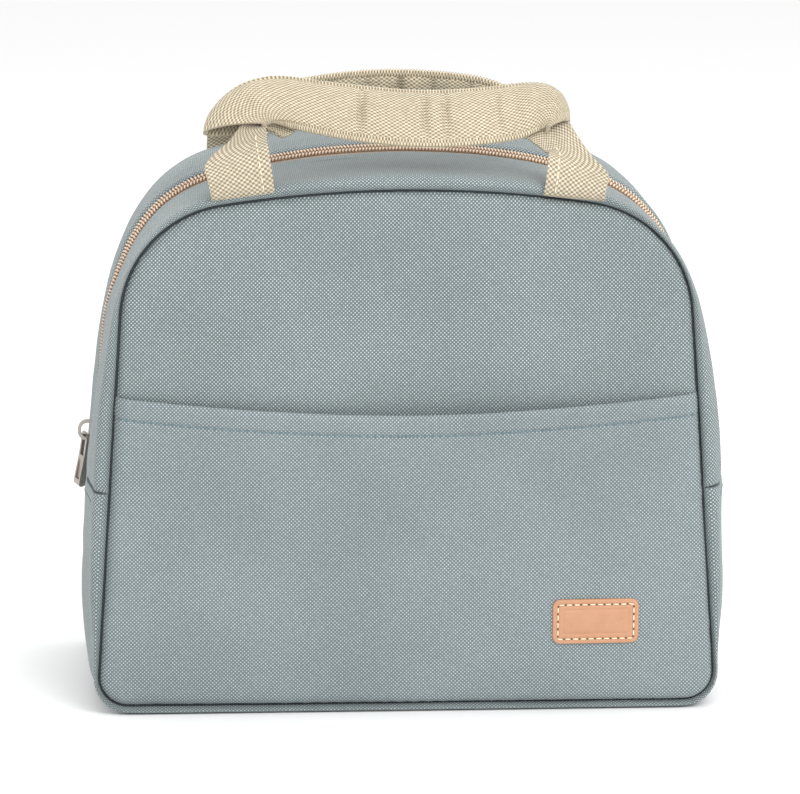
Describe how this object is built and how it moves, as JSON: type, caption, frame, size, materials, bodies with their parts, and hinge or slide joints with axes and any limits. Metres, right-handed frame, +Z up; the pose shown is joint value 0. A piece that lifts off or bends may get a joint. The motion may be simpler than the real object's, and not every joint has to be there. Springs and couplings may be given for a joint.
{
  "type": "lunch bag",
  "caption": "Insulated lunch bag in padded woven fabric with an arched zip mouth, front slip pocket and two padded webbing handles.",
  "frame": {"origin": "middle of the flat base, on the surface the bag stands on", "axes": "+X to the right of the pocket side, +Y from the pocket side to the rear, +Z up"},
  "size_m": [0.266, 0.1382, 0.253],
  "materials": {
    "bag_fabric": "grey-blue basket-woven polyester, matt",
    "foam": "white closed-cell foam, matt",
    "lining": "silver insulating film, soft sheen",
    "zip_tape": "cream woven tape",
    "zip_coil": "peach nylon coil",
    "zip_metal": "satin nickel",
    "webbing": "cream ribbed webbing",
    "patch_leather": "smooth peach leather"
  },
  "bodies": {
    "bag": {"base_gusset": "bag_fabric", "base_foam": "foam", "base_lining": "lining", "front_panel_lower": "bag_fabric", "front_foam_lower": "foam", "front_lining_lower": "lining", "rear_panel": "bag_fabric", "rear_foam": "foam", "rear_lining": "lining", "rear_zip_gusset": "bag_fabric", "rear_zip_foam": "foam", "rear_zip_lining": "lining", "front_zip_gusset_ends": "bag_fabric", "front_zip_tape_ends": "zip_tape", "front_zip_coil_ends": "zip_coil", "rear_zip_tape": "zip_tape", "rear_zip_coil": "zip_coil", "zip_end_stops": "zip_metal", "front_pocket": "bag_fabric", "leather_patch": "patch_leather"},
    "front_flap": {"front_panel_upper": "bag_fabric", "front_foam_upper": "foam", "front_lining_upper": "lining", "front_zip_gusset": "bag_fabric", "front_zip_foam": "foam", "front_zip_lining": "lining", "front_zip_tape": "zip_tape", "front_zip_coil": "zip_coil"},
    "front_handle": {"front_handle_strap": "webbing", "front_handle_grip": "webbing"},
    "rear_handle": {"rear_handle_strap": "webbing", "rear_handle_grip": "webbing"},
    "slider": {"slider_body": "zip_metal", "slider_crown": "zip_metal"},
    "pull": {"pull_tab": "zip_metal"}
  },
  "joints": [
    {"name": "mouth", "type": "hinge", "parent": "bag", "child": "front_flap", "pos_m": [0, -0.065, 0.132], "axis": [1, 0, 0], "range_deg": [0, 50]},
    {"name": "front_handle_fold", "type": "hinge", "parent": "front_flap", "child": "front_handle", "pos_m": [0, -0.06625, 0.2075], "axis": [1, 0, 0], "range_deg": [0, 120]},
    {"name": "rear_handle_fold", "type": "hinge", "parent": "bag", "child": "rear_handle", "pos_m": [0, 0.06625, 0.2075], "axis": [-1, 0, 0], "range_deg": [0, 120]},
    {"name": "zip_run", "type": "slide", "parent": "bag", "child": "slider", "axis": [0.068, 0, 0.9977], "range_m": [0, 0.04]},
    {"name": "pull_swing", "type": "hinge", "parent": "slider", "child": "pull", "pos_m": [-0.1294, 0, 0.10343], "axis": [0, 1, 0], "range_deg": [0, 150]}
  ]
}
